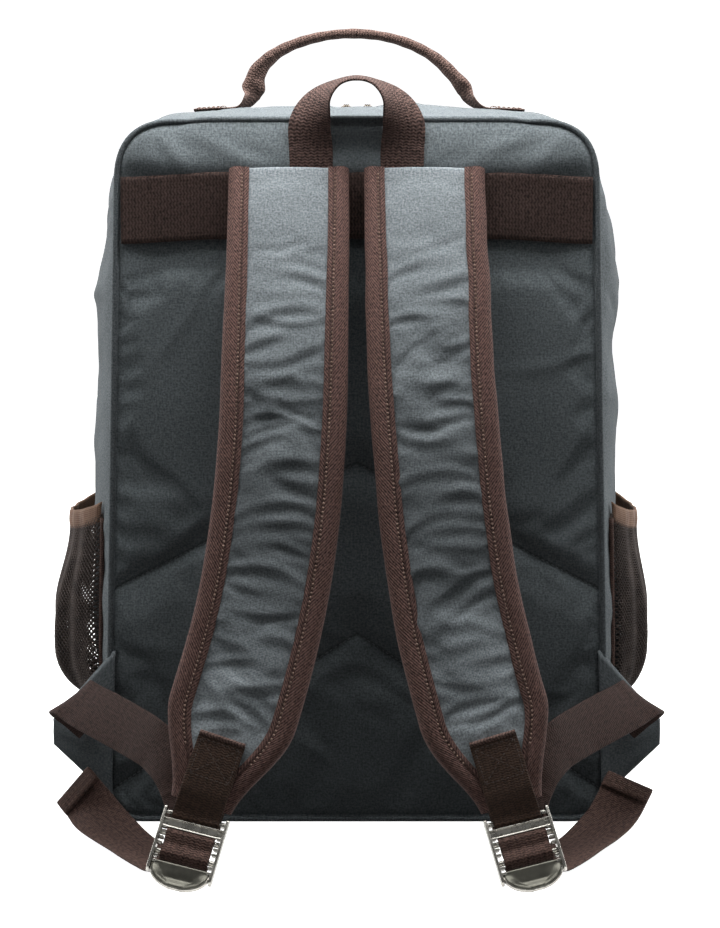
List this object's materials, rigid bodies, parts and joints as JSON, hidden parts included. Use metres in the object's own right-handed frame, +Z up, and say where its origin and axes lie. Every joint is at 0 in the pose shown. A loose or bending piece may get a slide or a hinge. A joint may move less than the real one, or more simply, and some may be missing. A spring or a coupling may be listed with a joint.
{
  "type": "travel backpack",
  "caption": "Canvas travel backpack with padded shoulder straps on ladder-lock buckles, a luggage band, grab handle, hang loop and mesh side pockets.",
  "frame": {"origin": "middle of the flat base the pack stands on", "axes": "+Z up from base to handle, -Y out of the back panel towards the shoulder straps, +X to the right seen from the strap side"},
  "size_m": [0.4036, 0.3074, 0.4986],
  "materials": {
    "canvas": "matte",
    "webbing": "matte",
    "tape": "matte",
    "foam": "matte",
    "lining": "matte",
    "mesh": "matte",
    "trim": "matte",
    "board": "matte",
    "metal": "polished"
  },
  "bodies": {
    "bag": {"back_panel": "canvas", "side_panel_left": "canvas", "side_panel_right": "canvas", "top_panel": "canvas", "base_panel": "canvas", "front_gusset_lower": "canvas", "front_panel_lower": "canvas", "back_piping": "canvas", "wing_left": "canvas", "wing_right": "canvas", "luggage_band": "webbing", "handle_tab_left": "webbing", "handle_tab_right": "webbing", "load_webbing_left": "webbing", "load_webbing_right": "webbing", "sleeve_binding": "tape", "zip_tape_rear": "tape", "back_foam": "foam", "lining": "lining", "laptop_sleeve": "lining", "pocket_mesh_left": "mesh", "pocket_mesh_right": "mesh", "pocket_band_left": "trim", "pocket_band_right": "trim", "base_board": "board"},
    "lid": {"zip_tape_lid": "tape", "lid_gusset": "canvas", "front_panel": "canvas", "front_piping": "canvas", "pocket_face_lower": "canvas", "pocket_face_upper": "canvas", "pocket_zip_tape": "tape"},
    "slider_body_left": {"slider_left": "metal"},
    "slider_body_right": {"slider_right": "metal"},
    "pull_body_left": {"pull_left": "metal"},
    "pull_body_right": {"pull_right": "metal"},
    "pocket_slider_body": {"slider_pocket": "metal"},
    "pocket_pull_body": {"pull_pocket": "metal"},
    "handle": {"grab_handle": "webbing"},
    "loop": {"hang_loop": "webbing"},
    "strap_left": {"strap_face_left": "canvas", "strap_foam_left": "foam", "strap_backing_left": "lining", "strap_binding_left": "tape", "strap_tab_left": "webbing", "tail_webbing_left": "webbing"},
    "ladder_lock_left": {"buckle_left": "metal", "buckle_webbing_left": "webbing"},
    "strap_right": {"strap_face_right": "canvas", "strap_foam_right": "foam", "strap_backing_right": "lining", "strap_binding_right": "tape", "strap_tab_right": "webbing", "tail_webbing_right": "webbing"},
    "ladder_lock_right": {"buckle_right": "metal", "buckle_webbing_right": "webbing"}
  },
  "joints": [
    {"name": "lid_open", "type": "hinge", "parent": "bag", "child": "lid", "pos_m": [0, 0.065, 0.122], "axis": [-1, 0, 0], "range_deg": [0, 80]},
    {"name": "zip_run_left", "type": "slide", "parent": "bag", "child": "slider_body_left", "axis": [-1, 0, 0], "range_m": [0, 0.092]},
    {"name": "pull_flip_left", "type": "hinge", "parent": "slider_body_left", "child": "pull_body_left", "pos_m": [-0.007, 0.032, 0.4521], "axis": [1, 0, 0], "range_deg": [0, 120]},
    {"name": "zip_run_right", "type": "slide", "parent": "bag", "child": "slider_body_right", "axis": [1, 0, 0], "range_m": [0, 0.092]},
    {"name": "pull_flip_right", "type": "hinge", "parent": "slider_body_right", "child": "pull_body_right", "pos_m": [0.007, 0.032, 0.4521], "axis": [1, 0, 0], "range_deg": [0, 120]},
    {"name": "pocket_zip_run", "type": "slide", "parent": "lid", "child": "pocket_slider_body", "axis": [1, 0, 0], "range_m": [0, 0.19]},
    {"name": "pocket_pull_lift", "type": "hinge", "parent": "pocket_slider_body", "child": "pocket_pull_body", "pos_m": [-0.096, 0.074, 0.35], "axis": [1, 0, 0], "range_deg": [0, 100]},
    {"name": "handle_fold", "type": "hinge", "parent": "bag", "child": "handle", "pos_m": [0, -0.005, 0.4545], "axis": [1, 0, 0], "range_deg": [-60, 60]},
    {"name": "hang_loop_fold", "type": "hinge", "parent": "bag", "child": "loop", "pos_m": [0, -0.083, 0.4053], "axis": [1, 0, 0], "range_deg": [0, 75]},
    {"name": "strap_swing_left", "type": "hinge", "parent": "bag", "child": "strap_left", "pos_m": [-0.041, -0.083, 0.4045], "axis": [-1, 0, 0], "range_deg": [0, 12], "deforming": ["load_webbing_left"]},
    {"name": "buckle_tilt_left", "type": "hinge", "parent": "strap_left", "child": "ladder_lock_left", "pos_m": [-0.09006, -0.20664, 0.03666], "axis": [-0.9684, 0.1335, 0.2106], "range_deg": [0, 35]},
    {"name": "strap_swing_right", "type": "hinge", "parent": "bag", "child": "strap_right", "pos_m": [0.041, -0.083, 0.4045], "axis": [-1, 0, 0], "range_deg": [0, 12], "deforming": ["load_webbing_right"]},
    {"name": "buckle_tilt_right", "type": "hinge", "parent": "strap_right", "child": "ladder_lock_right", "pos_m": [0.09006, -0.20664, 0.03666], "axis": [-0.9684, -0.1335, -0.2106], "range_deg": [0, 35]}
  ]
}
